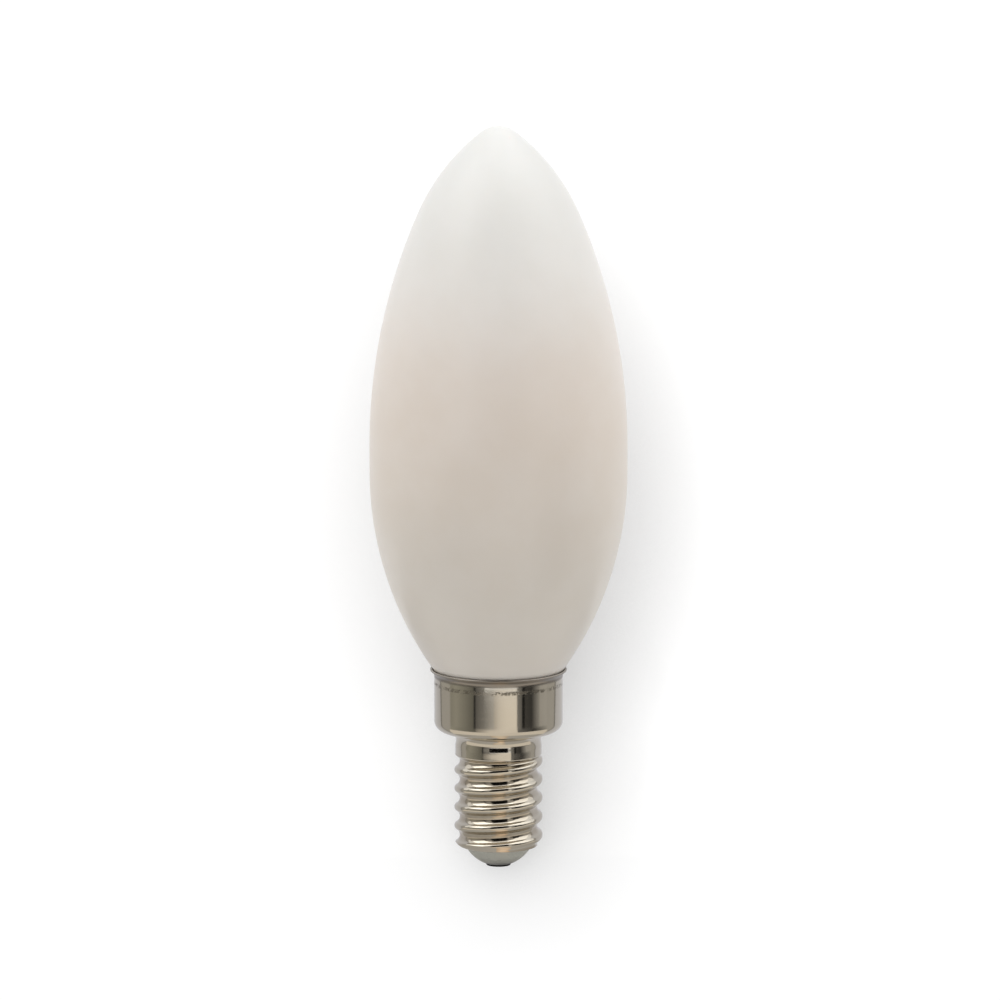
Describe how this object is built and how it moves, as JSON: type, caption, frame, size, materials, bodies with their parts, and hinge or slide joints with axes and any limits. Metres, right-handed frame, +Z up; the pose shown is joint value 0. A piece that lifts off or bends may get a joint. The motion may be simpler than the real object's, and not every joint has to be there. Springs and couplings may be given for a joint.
{
  "type": "candle bulb",
  "caption": "Torpedo-shaped opal glass bulb on a small nickel-plated screw cap with a flared collar, a rolled thread, an insulating button and a flat centre contact.",
  "frame": {"origin": "middle of the centre contact's flat face, the lowest point of the bulb", "axes": "+Z runs up the bulb's axis to the tip of the glass; -Y is the side seen in the picture, and +X is to its right"},
  "size_m": [0.0344, 0.0344, 0.1],
  "materials": {
    "opal_glass": "satin white coating inside clear glass, not see-through",
    "plated_sheet": "bright nickel plate over drawn sheet, lightly scuffed near the mouth",
    "insulator_grey": "smooth light grey button, faintly glossy",
    "contact_metal": "dulled dark contact"
  },
  "bodies": {
    "root": {"glass_envelope": "opal_glass", "screw_shell": "plated_sheet", "insulator": "insulator_grey", "centre_contact": "contact_metal"}
  },
  "joints": []
}
